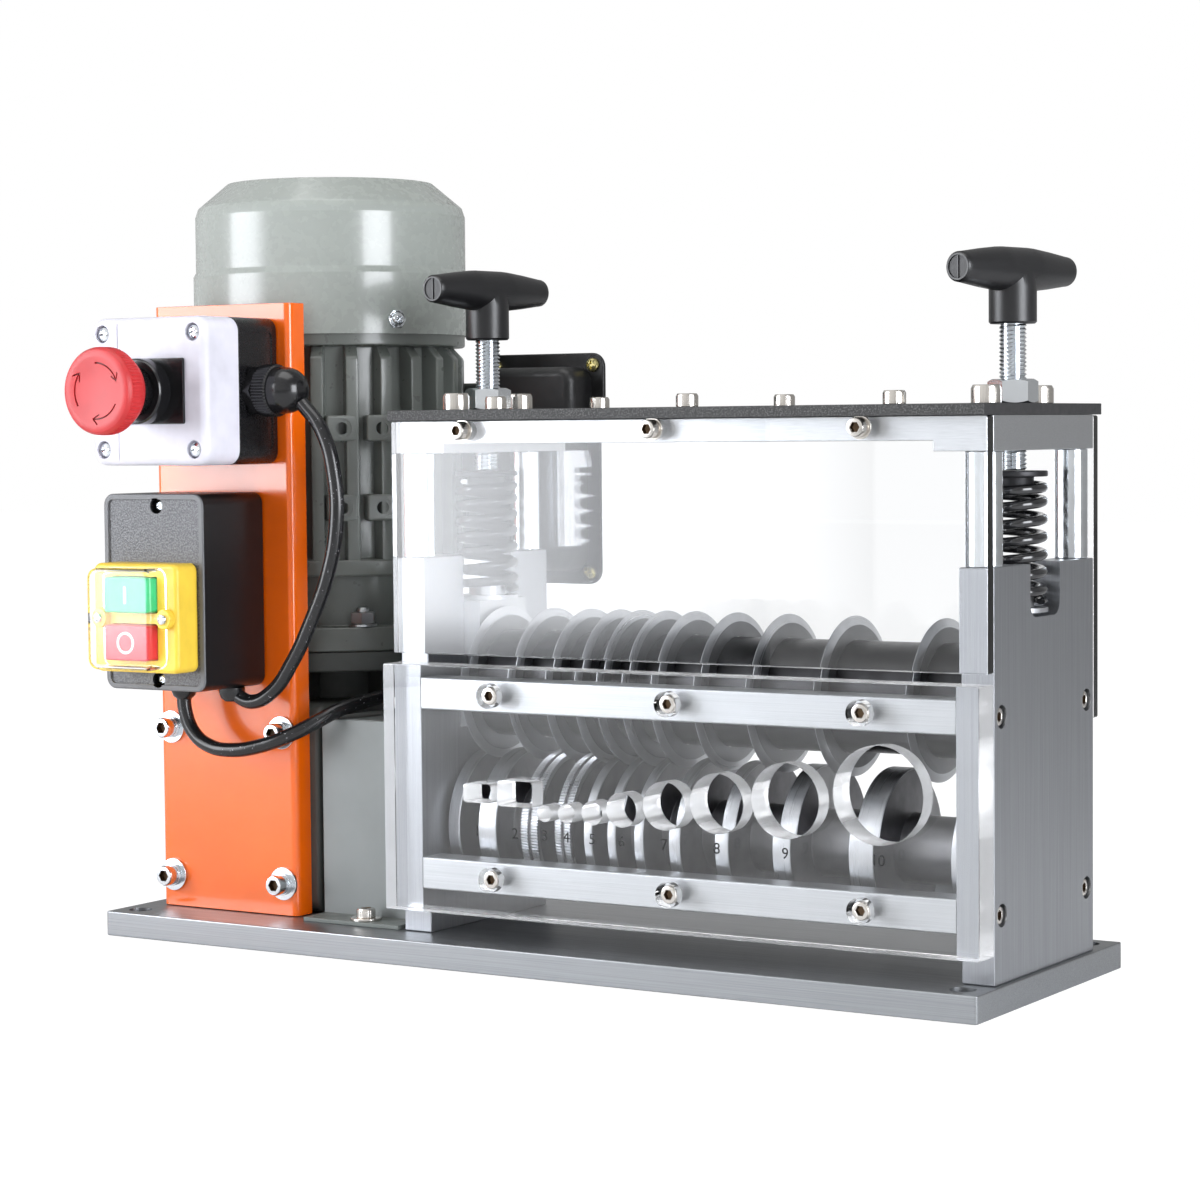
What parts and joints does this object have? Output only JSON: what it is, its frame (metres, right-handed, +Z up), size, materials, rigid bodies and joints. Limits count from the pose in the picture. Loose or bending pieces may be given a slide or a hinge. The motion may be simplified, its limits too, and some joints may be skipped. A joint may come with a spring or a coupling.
{
  "type": "wire stripping machine",
  "caption": "Bench wire stripping machine: geared motor turns a grooved feed shaft under a spring-pressed shaft of cutting discs, behind a clear guide plate with wire openings.",
  "frame": {"origin": "middle of the base plate's underside", "axes": "+X to the operator's right along the base plate, +Y away from the operator, +Z up"},
  "size_m": [0.483, 0.248, 0.372],
  "materials": {
    "brushed_aluminium": "brushed along its length",
    "machined_aluminium": "milled",
    "zinc_steel": "bright zinc plated",
    "black_plate": "black coated with a bare sawn edge",
    "clear_acrylic": "clear cast sheet with polished edges",
    "clear_membrane": "clear flexible moulding",
    "dark_casting": "dark painted casting",
    "motor_paint": "semi-gloss grey-green paint",
    "gloss_black": "glossy black",
    "guard_paint": "light grey-green sheet",
    "orange_powder": "glossy orange powder coat",
    "black_moulding": "fine textured black moulding",
    "pale_moulding": "pale grey moulding",
    "red_moulding": "red moulding",
    "yellow_moulding": "yellow moulding",
    "green_moulding": "green moulding",
    "stop_moulding": "red moulding",
    "lead_jacket": "smooth black jacket",
    "black_spring": "black oil-hardened wire",
    "black_steel": "black oxide",
    "drum_steel": "dark turned steel",
    "blade_steel": "satin with a bright ground bevel",
    "roller_steel": "turned steel",
    "fan_moulding": "black moulding",
    "handle_moulding": "black moulding"
  },
  "bodies": {
    "machine_frame": {"base_plate": "brushed_aluminium", "upright_right": "brushed_aluminium", "upright_left": "brushed_aluminium", "tie_bar_front_upper": "brushed_aluminium", "tie_bar_front_lower": "brushed_aluminium", "tie_bar_rear_upper": "brushed_aluminium", "tie_bar_rear_lower": "brushed_aluminium", "guide_rod_right_front": "zinc_steel", "guide_rod_right_rear": "zinc_steel", "guide_rod_left_front": "zinc_steel", "guide_rod_left_rear": "zinc_steel", "top_frame": "machined_aluminium", "top_plate": "black_plate", "guide_plate": "clear_acrylic", "upper_cover": "clear_acrylic", "rear_cover": "clear_acrylic", "screw_nut_right": "zinc_steel", "screw_nut_left": "zinc_steel", "gear_reducer": "dark_casting", "motor_frame": "motor_paint", "fan_cowl": "motor_paint", "terminal_box": "gloss_black", "reducer_cover": "guard_paint", "control_bracket": "orange_powder", "estop_box": "black_moulding", "estop_cover": "pale_moulding", "estop_collar": "black_moulding", "estop_gland": "gloss_black", "switch_box": "black_moulding", "switch_bezel": "yellow_moulding", "switch_clear_cover": "clear_membrane", "estop_lead": "lead_jacket", "motor_lead": "lead_jacket"},
    "blade_head": {"bearing_block_right": "machined_aluminium", "bearing_block_left": "machined_aluminium", "pressure_spring_right": "black_spring", "pressure_spring_left": "black_spring"},
    "blade_drum": {"blade_shaft": "drum_steel", "blade_01": "blade_steel", "blade_02": "blade_steel", "blade_03": "blade_steel", "blade_04": "blade_steel", "blade_05": "blade_steel", "blade_06": "blade_steel", "blade_07": "blade_steel", "blade_08": "blade_steel", "blade_09": "blade_steel", "blade_10": "blade_steel"},
    "feed_drive": {"feed_shaft": "roller_steel"},
    "motor_rotor": {"motor_fan": "fan_moulding"},
    "press_cap_right": {"spring_cap_right": "black_steel"},
    "press_screw_right": {"pressure_screw_right": "zinc_steel", "t_handle_right": "handle_moulding"},
    "press_cap_left": {"spring_cap_left": "black_steel"},
    "press_screw_left": {"pressure_screw_left": "zinc_steel", "t_handle_left": "handle_moulding"},
    "estop_plunger": {"estop_stem": "black_moulding"},
    "estop_button": {"estop_head": "red_moulding"},
    "start_key": {"start_button": "green_moulding"},
    "stop_key": {"stop_button": "stop_moulding"}
  },
  "joints": [
    {"name": "head_lift", "type": "slide", "parent": "machine_frame", "child": "blade_head", "axis": [0, 0, 1], "range_m": [0, 0.014], "stiffness_N_per_m": 4000, "springref_m": -0.01, "deforming": ["pressure_spring_right", "pressure_spring_left"]},
    {"name": "blade_spin", "type": "hinge", "parent": "blade_head", "child": "blade_drum", "pos_m": [0, -0.002, 0.127], "axis": [1, 0, 0], "continuous": true},
    {"name": "feed_spin", "type": "hinge", "parent": "machine_frame", "child": "feed_drive", "pos_m": [0, -0.002, 0.061], "axis": [1, 0, 0], "continuous": true},
    {"name": "rotor_spin", "type": "hinge", "parent": "machine_frame", "child": "motor_rotor", "pos_m": [-0.178, 0.038, 0.33], "axis": [0, 0, 1], "continuous": true},
    {"name": "press_travel_right", "type": "slide", "parent": "machine_frame", "child": "press_cap_right", "axis": [0, 0, 1], "range_m": [-0.00525, 0.00175]},
    {"name": "handle_turn_right", "type": "hinge", "parent": "press_cap_right", "child": "press_screw_right", "pos_m": [0.2175, -0.002, 0.3], "axis": [0, 0, 1], "range_deg": [-1081, 361]},
    {"name": "press_travel_left", "type": "slide", "parent": "machine_frame", "child": "press_cap_left", "axis": [0, 0, 1], "range_m": [-0.00525, 0.00175]},
    {"name": "handle_turn_left", "type": "hinge", "parent": "press_cap_left", "child": "press_screw_left", "pos_m": [-0.0555, -0.002, 0.3], "axis": [0, 0, 1], "range_deg": [-1081, 361]},
    {"name": "estop_push", "type": "slide", "parent": "machine_frame", "child": "estop_plunger", "axis": [0, 1, 0], "range_m": [0, 0.004], "stiffness_N_per_m": 600, "springref_m": -0.004},
    {"name": "estop_twist", "type": "hinge", "parent": "estop_plunger", "child": "estop_button", "pos_m": [-0.1812, -0.13, 0.2667], "axis": [0, 1, 0], "range_deg": [0, 35], "stiffness_Nm_per_rad": 0.05, "springref_deg": -5.73},
    {"name": "start_press", "type": "slide", "parent": "machine_frame", "child": "start_key", "axis": [0, 1, 0], "range_m": [0, 0.003], "stiffness_N_per_m": 400, "springref_m": -0.002},
    {"name": "stop_press", "type": "slide", "parent": "machine_frame", "child": "stop_key", "axis": [0, 1, 0], "range_m": [0, 0.003], "stiffness_N_per_m": 400, "springref_m": -0.002}
  ],
  "couplings": [
    {"joint": "rotor_spin", "follows": "feed_spin", "ratio": 20},
    {"joint": "handle_turn_right", "follows": "press_travel_right", "rad_per_m": 3590.4},
    {"joint": "handle_turn_left", "follows": "press_travel_left", "rad_per_m": 3590.4}
  ]
}
